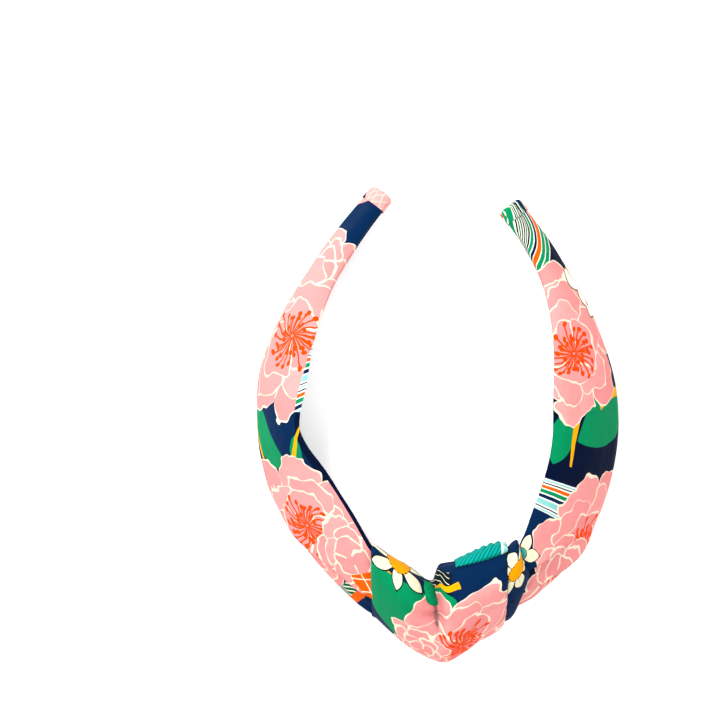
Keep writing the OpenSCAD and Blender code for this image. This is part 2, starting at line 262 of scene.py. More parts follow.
def passage_middle(x):
    edges = [place(met(x, w, 0, start_q(x)), w + 0 * x, 0 * x) for w in (-CORE_W / 2, CORE_W / 2)]
    return (edges[0] + edges[1]) / 2


def knot_place(x, w, n):
    a, middle = math.radians(LEAN), passage_middle(x)
    y = middle[..., 1] + w * math.sin(a) - n * math.cos(a)
    z = middle[..., 2] + w * math.cos(a) + n * math.sin(a)
    return np.stack([x + 0 * w, y, np.maximum(z, 0.05)], -1)


def valley_sway(a):
    """How far the valley wanders along x as it goes round the knot."""
    return 1.4 * np.sin(2 * a + 0.6)


def valley(x, a):
    deg = np.degrees(a)
    aside = x - VALLEY_X - valley_sway(a)
    share = np.where(aside < 0, aside / (VALLEY_W * 1.5), aside / (VALLEY_W * 0.34))
    return VALLEY_DEPTH * 1.15 * np.exp(-(share**2)) * ramp(-20, 70, deg) * (1 - ramp(170, 230, deg))


NARROWED = [-26, -17, 0, 3, 15, 24], [0.2, 0.24, 0, 0, 0.19, 0.12]


def below(a):
    """1 on the knot's underside and low front, which is pulled in to a point, and 0 elsewhere."""
    turn = (np.degrees(a) + 180) % 360 - 180
    return ramp(-165, -105, turn) * (1 - ramp(10, 70, turn))


def dome(x, x0, x1):
    return np.sin(np.pi * np.clip(0.5 + 0.42 * (2 * (x - x0) / (x1 - x0) - 1), 0, 1)) ** 0.4


def wrap_point(x, a, lift=0.0):
    """a goes round the knot: 0 at its front, a quarter turn at its top and half a turn at its back."""
    swell = 1 - np.minimum(1, np.abs(x - KNOT_MIDDLE) / (0.5 * (KNOT_RIGHT + KNOT_LEFT))) ** 1.5
    size = lambda end: end + (1 - end) * swell
    w = KNOT_W / 2 * size(0.93) * np.sin(a)
    n = np.where(np.cos(a) > 0, KNOT_FRONT * size(0.58), KNOT_BACK * size(0.86)) * np.cos(a)
    lobes = np.where(x < VALLEY_X, dome(x, -KNOT_LEFT, VALLEY_X), dome(x, VALLEY_X, WRAP_RIGHT))
    slim = 1 - 0.12 * (1 - lobes) * ramp(-60, 60, np.degrees(a)) * (1 - ramp(170, 225, np.degrees(a)))
    slim = slim - np.interp(x, *NARROWED) * below(a)
    k = slim + (lift - valley(x, a)) / np.maximum(np.hypot(w, n), 1)
    return knot_place(x, w * k, n * k)


def hole_at(x, ring_turn):
    w, n = bowed(ring_turn, CORE_W + 0.75 * EDGE_ROOM, sleeve_front(np.array(0.0)) - CLOTH_T,
                 sleeve_back(np.array(0.0)) - CLOTH_T, 8)
    w, n = w[None, :] + 0 * x[:, None], n[None, :] + 0 * x[:, None]
    q = met(x[:, None], w, n, start_q(x)[:, None] + 0 * w)
    return place(q, w, n)


KNOT_RING, KNOT_ROWS, KNOT_SEAM = 216, 150, 2.2
knot_turn = (np.arange(KNOT_RING) / KNOT_RING) * 2 * math.pi - KNOT_SEAM
KNOT_FACE = int(round(KNOT_SEAM / (2 * math.pi) * KNOT_RING))


def wrap_surface():
    """Outer skin of the knot, rounded in at both ends."""
    x = np.linspace(-KNOT_LEFT, WRAP_RIGHT, KNOT_ROWS)[:, None] + 0 * knot_turn
    a = knot_turn[None, :] + 0 * x
    from_end = np.minimum(x + KNOT_LEFT, WRAP_RIGHT - x)
    tuck = 2.6 * (1 - np.sqrt(np.clip(1 - (1 - np.clip(from_end / 2.6, 0, 1)) ** 2, 0, 1)))
    pull = np.exp(-np.abs(x - VALLEY_X) / 7) + 0.7 * np.exp(-from_end / 5)
    crease = 0.75 * pull * ripples(x / 12, a * 2.1 + 0.3) * ramp(-40, 20, np.degrees(a)) * (
        1 - ramp(170, 225, np.degrees(a)))
    points = wrap_point(x, a, crease - tuck)
    return points, x, round_rings(points, KNOT_FACE), a

# %% [markdown]
# ## Paint for the print
# The cotton is screen printed: flat colours with crisp edges, cream outlines and no shading of
# their own. Each motif is drawn by a formula in cloth millimetres, so it has no resolution, and
# each kind is one node group that every print below reuses. A small class makes the formulas
# short: every operation on a value adds one math node.

# %% A short way to write shader formulas
class Val:
    def __init__(self, tree, socket):
        self.tree, self.socket = tree, socket

    def op(self, name, *others, swap=False):
        node = self.tree.nodes.new("ShaderNodeMath")
        node.operation = name
        items = [self, *others]
        for slot, item in zip(node.inputs, items[::-1] if swap else items):
            join(self.tree, item, slot)
        return Val(self.tree, node.outputs[0])

    __add__ = __radd__ = lambda a, b: a.op("ADD", b)
    __mul__ = __rmul__ = lambda a, b: a.op("MULTIPLY", b)
    __sub__ = lambda a, b: a.op("SUBTRACT", b)
    __rsub__ = lambda a, b: a.op("SUBTRACT", b, swap=True)
    __truediv__ = lambda a, b: a.op("DIVIDE", b)
    __rtruediv__ = lambda a, b: a.op("DIVIDE", b, swap=True)
    __lt__ = lambda a, b: a.op("LESS_THAN", b)
    __gt__ = lambda a, b: a.op("GREATER_THAN", b)
    __abs__ = lambda a: a.op("ABSOLUTE")
    power = lambda a, b: a.op("POWER", b)
    sin = lambda a: a.op("SINE")
    cos = lambda a: a.op("COSINE")
    frac = lambda a: a.op("FRACT")
    floor = lambda a: a.op("FLOOR")
    least = lambda a, b: a.op("MINIMUM", b)
    most = lambda a, b: a.op("MAXIMUM", b)


def join(tree, item, slot):
    if isinstance(item, Val):
        item = item.socket
    if isinstance(item, bpy.types.NodeSocket):
        tree.links.new(item, slot)
    else:
        slot.default_value = item


def paint(code):
    """A colour given as an sRGB hex code, in the linear values that shaders use."""
    parts = [int(code[i:i + 2], 16) / 255 for i in (1, 3, 5)]
    return [c / 12.92 if c < 0.04045 else ((c + 0.055) / 1.055) ** 2.4 for c in parts] + [1]


NAVY, NAVY_DARK, PINK, PINK_DEEP = paint("#03244a"), paint("#03102c"), paint("#f6a9a6"), paint("#f19a98")
CREAM, GREEN, GREEN_DARK, MUSTARD = paint("#fbe6cf"), paint("#038c58"), paint("#125f38"), paint("#f0ac14")
CORAL, ORANGE, TEAL, TEAL_LIGHT = paint("#f4532c"), paint("#f5621f"), paint("#26a99d"), paint("#8ccfc8")
INK, PETAL, MARIGOLD, WHITE = paint("#0b1a22"), paint("#efe9c9"), paint("#f79d08"), paint("#fbf7ec")


def over(tree, mask, top, under):
    """top printed over under wherever mask is 1."""
    node = tree.nodes.new("ShaderNodeMix")
    node.data_type = "RGBA"
    join(tree, mask, node.inputs[0])
    join(tree, under, node.inputs[6])
    join(tree, top, node.inputs[7])
    return node.outputs[2]


def chance(tree, value, seed=0.0):
    """A random number from 0 to 1 for each whole value."""
    node = tree.nodes.new("ShaderNodeTexWhiteNoise")
    node.noise_dimensions = "2D"
    pair = tree.nodes.new("ShaderNodeCombineXYZ")
    join(tree, value, pair.inputs[0])
    join(tree, seed, pair.inputs[1])
    tree.links.new(pair.outputs[0], node.inputs["Vector"])
    return Val(tree, node.outputs["Value"])


def cloudy(tree, vector, scale, detail=2.0):
    node = tree.nodes.new("ShaderNodeTexNoise")
    node.inputs["Scale"].default_value = scale
    node.inputs["Detail"].default_value = detail
    join(tree, vector, node.inputs["Vector"])
    return Val(tree, node.outputs["Fac"])


def new_group(name, inputs, outputs):
    tree = bpy.data.node_groups.new(name, "ShaderNodeTree")
    kinds = {"f": "NodeSocketFloat", "v": "NodeSocketVector", "c": "NodeSocketColor"}
    for label, kind, value in inputs:
        socket = tree.interface.new_socket(label, in_out="INPUT", socket_type=kinds[kind])
        if value is not None:
            socket.default_value = value
    for label, kind in outputs:
        tree.interface.new_socket(label, in_out="OUTPUT", socket_type=kinds[kind])
    enter, leave = tree.nodes.new("NodeGroupInput"), tree.nodes.new("NodeGroupOutput")
    return tree, enter.outputs, leave.inputs


def local(tree, spot, centre, turn):
    """Coordinates about a motif's centre, turned to lie along it."""
    take = tree.nodes.new("ShaderNodeVectorMath")
    take.operation = "SUBTRACT"
    join(tree, spot, take.inputs[0])
    join(tree, centre, take.inputs[1])
    rotate = tree.nodes.new("ShaderNodeVectorRotate")
    rotate.rotation_type = "Z_AXIS"
    join(tree, take.outputs[0], rotate.inputs["Vector"])
    join(tree, turn, rotate.inputs["Angle"])
    parts = tree.nodes.new("ShaderNodeSeparateXYZ")
    join(tree, rotate.outputs[0], parts.inputs[0])
    return Val(tree, parts.outputs[0]), Val(tree, parts.outputs[1])


print("navy ink in linear values", [round(c, 4) for c in NAVY[:3]])

# %% [markdown]
# The large flower is three rings of petals, each ring drawn over the one outside it. A ring's
# edge swings in and out once for each petal, with small scallops on top. A cream line follows
# the edge, and another runs down between neighbouring petals. The stamens are sectors: one thin
# coral filament in each, of its own length, with a round head. Slow noise bends all of it, as a
# brush would.

# %% The large flower
def flower_group():
    tree, given, wanted = new_group("Flower", [
        ("Spot", "v", None), ("Centre", "v", None), ("Size", "f", 28.0), ("Turn", "f", 0.0),
        ("Stretch", "f", 1.0), ("Stamens", "f", 1.0), ("Line", "f", 0.45)],
        [("Mask", "f"), ("Colour", "c")])
    x, y = local(tree, given["Spot"], given["Centre"], given["Turn"])
    x = x / Val(tree, given["Stretch"])
    bend = cloudy(tree, given["Spot"], 0.07, 1.5) - 0.5
    bend_2 = cloudy(tree, given["Spot"], 0.1, 1.5) - 0.5
    size, line = Val(tree, given["Size"]), Val(tree, given["Line"])
    near_x, near_y = x + bend * size * 0.16, y + bend_2 * size * 0.16
    x, y = x + bend * size * 0.5, y + bend_2 * size * 0.5
    r = (x * x + y * y).power(0.5)
    angle = y.op("ARCTAN2", x)
    colour, mask = PINK, None
    rings = [(1.0, 6, 0.0, 0.5), (0.74, 5, 0.9, -0.9), (0.5, 3, 0.3, 0.6)]
    for k, (share, petals, phase, curl) in enumerate(rings):
        turned = (angle + phase + r / size * curl) * (petals / 2)
        swing = abs(turned.cos()).power(0.5)
        scallop = (angle * (petals * 3.0) + bend * 24).sin() * 0.014
        edge = size * share * (swing * 0.26 + 0.76 + scallop)
        inside = r < edge
        which = chance(tree, ((turned + 1.5708) / math.pi).floor() + 0.5, k + 1.0)
        body = over(tree, which, PINK, PINK_DEEP)
        weight = line * (0.2 + 2.4 * cloudy(tree, given["Spot"], 0.18, 0.0))
        rim = (edge - r) < weight
        split = (abs(turned.cos()) * r * (2.0 / petals)) < weight * 0.75
        inner = size * (rings[k + 1][0] * 0.72 if k < 2 else 0.12)
        split = split * (r > inner)
        body = over(tree, rim.most(split), CREAM, body)
        colour = over(tree, inside, body, colour)
        mask = inside if k == 0 else mask
    tuft = None
    out = (near_x * near_x + near_y * near_y).power(0.5)
    spin = near_y.op("ARCTAN2", near_x)
    for count, longest, seed in ((23, 0.45, 5.0), (15, 0.3, 9.0)):
        sector = (spin + 3.2 + out / size * 1.1) * (count / 6.2832)
        reach = size * (longest * (0.5 + 0.5 * chance(tree, sector.floor() + 0.5, seed)))
        aside = (sector.frac() - 0.5) * out * (6.2832 / count)
        thread = (abs(aside) < (out * 0.05 + 0.08).least(0.34)) * (out < reach) * (out > size * 0.02)
        head = ((aside * aside + (out - reach) * (out - reach)).power(0.5)) < 0.95
        both = thread.most(head)
        tuft = both if tuft is None else tuft.most(both)
    colour = over(tree, tuft * Val(tree, given["Stamens"]), CORAL, colour)
    join(tree, mask, wanted["Mask"])
    join(tree, colour, wanted["Colour"])
    return tree


FLOWER = flower_group()
print("flower nodes", len(FLOWER.nodes))

# %% [markdown]
# Leaves are pointed at both ends. A stem is a thin arc. A daisy's petals are slim and pointed
# with a dark outline, round a marigold disc.

# %% Leaf, stem, daisy and stripes
def leaf_group():
    tree, given, wanted = new_group("Leaf", [
        ("Spot", "v", None), ("Centre", "v", None), ("Length", "f", 24.0), ("Width", "f", 9.0),
        ("Turn", "f", 0.0), ("Bow", "f", 0.0), ("Hatch", "f", 0.0), ("Ink", "c", GREEN), ("Vein", "c", GREEN)],
        [("Mask", "f"), ("Colour", "c")])
    x, y = local(tree, given["Spot"], given["Centre"], given["Turn"])
    s = x / (Val(tree, given["Length"]) * 0.5)
    belly = (1 - s * s).most(0.0)
    y = y - belly * Val(tree, given["Bow"])
    half = Val(tree, given["Width"]) * 0.5 * belly.power(0.85)
    wash = cloudy(tree, given["Spot"], 0.5, 3.0)
    body = over(tree, wash * 0.15, GREEN_DARK, given["Ink"])
    ribs = ((abs(y) * 0.6 + x) * 0.62).frac() < 0.36
    body = over(tree, (ribs * Val(tree, given["Hatch"])).most(abs(y) < 0.18), given["Vein"], body)
    join(tree, abs(y) < half, wanted["Mask"])
    join(tree, body, wanted["Colour"])
    return tree


def stem_group():
    tree, given, wanted = new_group("Stem", [
        ("Spot", "v", None), ("Centre", "v", None), ("Length", "f", 20.0), ("Width", "f", 1.5),
        ("Turn", "f", 0.0), ("Bow", "f", 2.0)], [("Mask", "f")])
    x, y = local(tree, given["Spot"], given["Centre"], given["Turn"])
    s = x / (Val(tree, given["Length"]) * 0.5)
    belly = (1 - s * s).most(0.0)
    line = abs(y - belly * Val(tree, given["Bow"])) < Val(tree, given["Width"]) * 0.5 * (s * 0.35 + 0.65)
    join(tree, line * (abs(s) < 1.0), wanted["Mask"])
    return tree


def daisy_group():
    tree, given, wanted = new_group("Daisy", [
        ("Spot", "v", None), ("Centre", "v", None), ("Size", "f", 10.0), ("Turn", "f", 0.0),
        ("Petals", "f", 9.0), ("Plump", "f", 0.3), ("Disc", "f", 0.36), ("Long", "f", 1.0),
        ("Eye", "c", MARIGOLD)], [("Mask", "f"), ("Colour", "c")])
    x, y = local(tree, given["Spot"], given["Centre"], given["Turn"])
    y = y / Val(tree, given["Long"])
    r = (x * x + y * y).power(0.5)
    size, count = Val(tree, given["Size"]), Val(tree, given["Petals"])
    sector = (y.op("ARCTAN2", x) + 6.3) * count / 6.2832
    number = sector.floor() + 0.5
    aside = (sector.frac() - 0.5 + (chance(tree, number, 3.0) - 0.5) * 0.12) * r * 6.2832 / count
    reach = size * (0.88 + 0.24 * chance(tree, number, 1.0) - 0.12)
    s = (r / reach).least(1.0)
    fullness = (s * s * math.pi).sin() * 0.5 + (s * math.pi).sin() * 0.5
    half = size * Val(tree, given["Plump"]) * fullness.most(0.0)
    petal = abs(aside) < half
    outline = abs(aside) < half + 0.42
    outline = outline * (r < reach + 0.5)
    eye = r < size * Val(tree, given["Disc"]) * (1 + 0.05 * (y.op("ARCTAN2", x) * 17.0).sin())
    dotted = cloudy(tree, given["Spot"], 1.6, 1.0) > 0.56
    colour = over(tree, petal, PETAL, INK)
    fine = (abs(aside) < 0.1) * (s < 0.7)
    colour = over(tree, fine * 0.5, paint("#b9b08a"), colour)
    ring = r < size * Val(tree, given["Disc"]) + 0.25
    colour = over(tree, ring, INK, colour)
    colour = over(tree, eye, over(tree, dotted * 0.25, paint("#e88a05"), given["Eye"]), colour)
    join(tree, outline.most(ring), wanted["Mask"])
    join(tree, colour, wanted["Colour"])
    return tree


def stripes_group(name, bands):
    """Stripes of given widths and inks along one number, in mm, which then repeat."""
    tree, given, wanted = new_group(name, [("Across", "f", 0.0)], [("Colour", "c")])
    total = sum(width for width, _ in bands)
    ramp_node = tree.nodes.new("ShaderNodeValToRGB")
    ramp_node.color_ramp.interpolation = "CONSTANT"
    stops = ramp_node.color_ramp.elements
    place_at = 0.0
    for k, (width, ink) in enumerate(bands):
        stop = stops[k] if k < len(stops) else stops.new(0.999)
        stop.position, stop.color = place_at / total, ink
        place_at += width
    join(tree, (Val(tree, given["Across"]) / total).frac(), ramp_node.inputs[0])
    join(tree, ramp_node.outputs[0], wanted["Colour"])
    return tree


def weave_group():
    """Height of a plain weave, in two directions, with slubs."""
    tree, given, wanted = new_group("Weave", [("Spot", "v", None), ("Pitch", "f", 0.32)], [("Height", "f")])
    x, y = local(tree, given["Spot"], (0, 0, 0), 0.0)
    k = 6.2832 / Val(tree, given["Pitch"])
    threads = (x * k).sin() * (y * k).sin()
    slubs = cloudy(tree, given["Spot"], 0.9, 3.0)
    join(tree, threads * 0.4 + slubs, wanted["Height"])
    return tree


LEAF, STEM, DAISY, WEAVE = leaf_group(), stem_group(), daisy_group(), weave_group()
CROSS = stripes_group("Cross stripes", [
    (0.5, NAVY), (0.5, WHITE), (0.6, TEAL_LIGHT), (0.6, WHITE), (0.5, INK), (0.6, WHITE), (1.3, ORANGE),
    (0.5, WHITE), (1.5, GREEN), (0.6, WHITE), (1.4, NAVY), (0.6, WHITE), (2.1, TEAL_LIGHT), (0.7, WHITE)])
WAVY = stripes_group("Wavy stripes", [
    (0.6, WHITE), (2.6, GREEN), (0.6, WHITE), (2.4, GREEN), (0.6, WHITE), (2.6, ORANGE), (0.6, CREAM),
    (1.5, NAVY),
    (0.6, WHITE), (1.6, GREEN), (0.4, WHITE), (0.8, INK), (0.3, WHITE), (0.5, GREEN_DARK), (0.3, WHITE),
    (0.5, INK), (0.3, WHITE), (0.5, GREEN_DARK), (0.3, WHITE), (0.5, GREEN_DARK), (0.3, WHITE), (0.6, INK)])
print("motif nodes", {g.name: len(g.nodes) for g in (LEAF, STEM, DAISY, WEAVE)})

# %% [markdown]
# ## Cloth
# Each print is a stack of motifs on a navy ground, laid out as a cutter would place the pattern
# on that piece. The cloth itself is poplin: a fine plain weave, a little sheen at grazing angles,
# and a soft crumple that only shows in the light. Where a pleat folds the cloth over, the print
# jumps, because the layer below comes from further round the flat cloth. Just under the step of
# the fold, and down the knot's valley, the colour is darkened with painted shade.

# %% Cloth material
def motif(tree, spot, under, group, ink=None, **given):
    node = tree.nodes.new("ShaderNodeGroup")
    node.node_tree = group
    join(tree, spot, node.inputs["Spot"])
    for label, value in given.items():
        join(tree, value, node.inputs[label])
    return over(tree, node.outputs["Mask"], ink or node.outputs["Colour"], under)


def brush(tree, spot):
    """put(under, group, centre, ...) prints one motif over what is under it."""
    return lambda under, group, centre, **given: motif(tree, spot, under, group, Centre=(*centre, 0), **given)


def striped(tree, group, across):
    node = tree.nodes.new("ShaderNodeGroup")
    node.node_tree = group
    join(tree, across, node.inputs["Across"])
    return node.outputs["Colour"]


def cloth(name, draw, jump=(0, 0)):
    """A printed cotton. draw(tree, spot, x, y) returns the colour at that spot of the cloth."""
    material = bpy.data.materials.new(name)
    material.use_nodes = True
    tree = material.node_tree
    shader = tree.nodes["Principled BSDF"]
    uv = tree.nodes.new("ShaderNodeUVMap")
    uv.uv_map = "cloth"
    fold_in = tree.nodes.new("ShaderNodeAttribute")
    fold_in.attribute_name = "fold"
    fold = Val(tree, fold_in.outputs["Fac"])
    parts = tree.nodes.new("ShaderNodeSeparateXYZ")
    join(tree, uv.outputs[0], parts.inputs[0])
    under_fold = fold < 0.0
    wander = cloudy(tree, uv.outputs[0], 18.0, 2.0) - 0.5
    x = Val(tree, parts.outputs[0]) * 100.0 + under_fold * jump[0] + wander * 0.5
    y = Val(tree, parts.outputs[1]) * 100.0 + under_fold * jump[1] + wander * 0.5
    joined = tree.nodes.new("ShaderNodeCombineXYZ")
    join(tree, x, joined.inputs[0])
    join(tree, y, joined.inputs[1])
    spot = joined.outputs[0]
    colour = draw(tree, spot, x, y)
    # Painted shade: a near-black line with a softer band beside it, on the lower layer just under the step of
    # each sleeve's first pleat and down the knot's valley, where the crease lies in shade.
    crease = (1.0 - abs(fold + 0.8) / 1.0).most(0.0) * 0.5 + (1.0 - abs(fold + 1.0) / 2.4).most(0.0) * 0.35
    colour = over(tree, crease, (0.02, 0.015, 0.03, 1), colour)
    wash = cloudy(tree, spot, 0.35, 4.0)
    tone = tree.nodes.new("ShaderNodeHueSaturation")
    join(tree, 0.72 + wash * 0.08, tone.inputs["Value"])
    tone.inputs["Saturation"].default_value = 1.08
    join(tree, colour, tone.inputs["Color"])
    join(tree, tone.outputs[0], shader.inputs["Base Color"])
    shader.inputs["Roughness"].default_value = 0.82
    shader.inputs["Specular IOR Level"].default_value = 0.04
    shader.inputs["Sheen Weight"].default_value = 0.012
    shader.inputs["Sheen Roughness"].default_value = 0.5
    weave = tree.nodes.new("ShaderNodeGroup")
    weave.node_tree = WEAVE
    join(tree, spot, weave.inputs["Spot"])
    crumple = cloudy(tree, spot, 0.16, 3.0)
    soft = tree.nodes.new("ShaderNodeBump")
    soft.inputs["Strength"].default_value = 0.6
    soft.inputs["Distance"].default_value = 0.0016
    join(tree, crumple, soft.inputs["Height"])
    fine = tree.nodes.new("ShaderNodeBump")
    fine.inputs["Strength"].default_value = 0.25
    fine.inputs["Distance"].default_value = 0.00012
    join(tree, weave.outputs[0], fine.inputs["Height"])
    join(tree, soft.outputs[0], fine.inputs["Normal"])
    join(tree, fine.outputs[0], shader.inputs["Normal"])
    return material


# %% Prints of the two sleeves
def left_print(tree, spot, x, y):
    put = brush(tree, spot)
    colour = over(tree, y > 16.5, NAVY_DARK, NAVY)
    colour = put(colour, LEAF, (-94, -2), Length=29, Width=12, Turn=-0.6, Bow=-1.5)
    colour = put(colour, LEAF, (-86, 13), Length=17, Width=5, Turn=0.35)
    colour = put(colour, STEM, (-91, -11), ink=MUSTARD, Length=26, Width=2.0, Turn=-0.2, Bow=1.5)
    colour = put(colour, STEM, (-91, 14), ink=MUSTARD, Length=22, Width=2.2, Turn=0.55, Bow=1)
    colour = put(colour, FLOWER, (-160, 2), Size=15, Turn=0.4, Stretch=1.1, Stamens=0)
    colour = put(colour, FLOWER, (-131, 6), Size=31, Turn=0.2)
    colour = put(colour, FLOWER, (-61, -2), Size=27, Turn=1.2)
    colour = put(colour, FLOWER, (-42, 8), Size=17, Turn=0.8, Stamens=0)
    patch = (x > -35 + (y - 9) * 0.35) * (y > 1) * (y < 16)
    veins = ((y * 0.17 + x * 0.06).frac() < 0.09).most((x * 0.16 - y * 0.1).frac() < 0.09)
    colour = over(tree, patch, over(tree, veins, CREAM, ORANGE), colour)
    colour = put(colour, FLOWER, (-42, -27), Size=19, Turn=0.3, Stamens=0)
    tucked = (y < -12) * (x > -27)
    colour = over(tree, tucked, over(tree, (x * 0.5 - y * 0.35).frac() < 0.3, WHITE, GREEN_DARK), colour)
    colour = over(tree, tucked * (x > -22), ORANGE, colour)
    colour = over(tree, tucked * (x > -18.5), NAVY, colour)
    colour = over(tree, (y > 18.5) * (x > -84), NAVY_DARK, colour)
    wall = (y > 16.0 + (x + 108) * 0.03) * (x > -152) * (x < -104)
    colour = over(tree, wall, striped(tree, CROSS, x * 0.8 + y * 0.5), colour)
    colour = over(tree, (y > 26) * (y < 27.6) * (x > -90) * (x < -48), TEAL_LIGHT, colour)
    colour = over(tree, (y < -4.2) * (y > -6.4) * (x < -171), TEAL_LIGHT, colour)
    return over(tree, x + y * 0.7 < -189.0, PINK, colour)


def swept(tree, spot, x, y):
    """Distance across the stripes that sweep round the right end."""
    return y + 16 * ((x - 160.5) / 14.5).op("TANH") + (cloudy(tree, spot, 0.05, 1.0) - 0.5) * 4


def right_print(tree, spot, x, y):
    put = brush(tree, spot)
    sweep = swept(tree, spot, x, y)
    colour = over(tree, (y > 6) * (x < 58), NAVY, NAVY_DARK)
    colour = over(tree, (sweep > 0.0) * (x > 146.0), striped(tree, WAVY, sweep * 0.95), colour)
    colour = over(tree, (x > 56.5) * (x < 70.5) * (y > 2), striped(tree, CROSS, 70.5 - x), colour)
    colour = put(colour, LEAF, (95, -8), Length=38, Width=19, Turn=1.15, Bow=2)
    colour = put(colour, LEAF, (88, 16.5), Length=23, Width=10, Turn=0.15)
    colour = put(colour, STEM, (89, 9.5), ink=MUSTARD, Length=24, Width=3.4, Turn=0.1, Bow=1.5)
    colour = put(colour, STEM, (102, -12), ink=MUSTARD, Length=20, Width=4, Turn=1.3, Bow=2)
    colour = put(colour, FLOWER, (52, -13), Size=27, Turn=0.9)
    colour = put(colour, FLOWER, (41, -6), Size=14, Turn=0.1, Stamens=0)
    colour = put(colour, FLOWER, (134, 6), Size=21, Turn=0.5, Stamens=0)
    colour = put(colour, FLOWER, (121, 9), Size=26, Turn=0.7)
    curl = [((147, -4), 9.5, 7.5, -0.5), ((140, -6.5), 8, 4.5, -0.1), ((134.5, -8.5), 5, 4.2, -0.8)]
    for more, ink in ((1.3, paint("#5a5f2c")), (0.0, WHITE)):
        for centre, long, wide, turn in curl:
            colour = put(colour, LEAF, centre, ink=ink, Length=long + more,
                           Width=wide + more, Turn=turn, Bow=0.6)
    colour = put(colour, STEM, (149, -5.5), ink=MUSTARD, Length=6, Width=1.5, Turn=-0.4, Bow=1)
    return put(colour, DAISY, (37, 16), Size=9, Turn=0.5, Petals=5, Plump=0.3, Disc=0.3, Eye=TEAL)


LEFT_CLOTH = cloth("Left sleeve cotton", left_print, jump=(9, -9))
RIGHT_CLOTH = cloth("Right sleeve cotton", right_print, jump=(12, -8))


# %% Prints of the knot
def knot_print(tree, spot, x, y):
    put = brush(tree, spot)
    colour = over(tree, (y > 36) * (x < -2), NAVY_DARK, NAVY)
    colour = over(tree, (x > -22) * (x < -15) * (y > 16) * (y < 23.5), MUSTARD, colour)
    # Painted shade: the near-black box down the valley near the top of the knot stands for the shaded pocket;
    # the pale stripes and the mustard stem over it are print.
    shade = (x > -4) * (x < 3.5) * (y > 24) * (y < 33)
    colour = over(tree, shade, INK, colour)
    colour = over(tree, shade * (x < 2.5) * ((y * 0.45 + x * 0.12).frac() < 0.14), PETAL, colour)
    colour = put(colour, STEM, (2, 25.5), ink=MUSTARD, Length=9, Width=3.2, Turn=-0.3, Bow=1)
    colour = put(colour, LEAF, (-14, 8.5), Length=36, Width=31, Turn=0.0, Bow=0)
    colour = put(colour, LEAF, (0, 19), Length=13, Width=12, Turn=0.3, Bow=0)
    colour = put(colour, FLOWER, (7, 0), Size=24, Turn=0.5, Line=0.5)
    colour = put(colour, FLOWER, (-7, -5), Size=11, Turn=1.1, Stamens=0)
    return put(colour, DAISY, (-15.5, 31), Size=12.5, Long=1.25, Turn=0.35, Petals=8, Plump=0.145, Disc=0.31)


def band_print(tree, spot, x, y):
    put = brush(tree, spot)
    colour = over(tree, cloudy(tree, spot, 0.2) > 0.62, NAVY_DARK, NAVY)
    colour = put(colour, DAISY, (27, 17), Size=11, Turn=0.1, Petals=8, Plump=0.17, Disc=0.26)
    return over(tree, y > 26, NAVY, colour)


def fold_print(tree, spot, x, y):
    put = brush(tree, spot)
    colour = put(NAVY, LEAF, (15, 10), Length=44, Width=40, Ink=TEAL, Vein=paint("#0f6d66"), Hatch=1.0)
    edge = (x > 21.5) * (((x * 0.5 + y * 0.35).frac() < 0.14).most(x < 22.2))
    return over(tree, edge, WHITE, over(tree, x > 21.5, TEAL_LIGHT, colour))


def under_print(tree, spot, x, y):
    return over(tree, (cloudy(tree, spot, 0.4, 3.0) - 0.4) * 2, GREEN_DARK, GREEN)


def tip_left_print(tree, spot, x, y):
    lines = ((x * 0.31 + y * 0.22).frac() < 0.13).most((y * 0.27 - x * 0.1).frac() < 0.12)
    return over(tree, x - y * 0.9 > -188.0, NAVY, over(tree, lines * 0.6, CREAM, PINK))


def tip_right_print(tree, spot, x, y):
    sweep = swept(tree, spot, x, y)
    # Painted shade: dark navy bands round the very end, in the hollows of the gathered rim.
    gather_shade = ((y * 0.3).frac() < 0.35) * (x > 186.5)
    return over(tree, gather_shade, NAVY_DARK, striped(tree, WAVY, sweep * 0.95))


KNOT_CLOTH, BAND_CLOTH = cloth("Knot cotton", knot_print), cloth("Side band cotton", band_print)
FOLD_CLOTH, UNDER_CLOTH = cloth("Inner fold cotton", fold_print), cloth("Underpass cotton", under_print)
TIP_LEFT_CLOTH = cloth("Left tip cotton", tip_left_print)
TIP_RIGHT_CLOTH = cloth("Right tip cotton", tip_right_print)
print("cloth materials", len(bpy.data.materials))

# %% [markdown]
# ## From rings to closed skins
# One function turns a stack of rings into a closed mesh: it joins neighbouring rings, closes both
# ends, or runs round into itself for a tube with a lining, and turns every face outward. It also
# writes where each point lies on the flat cloth.

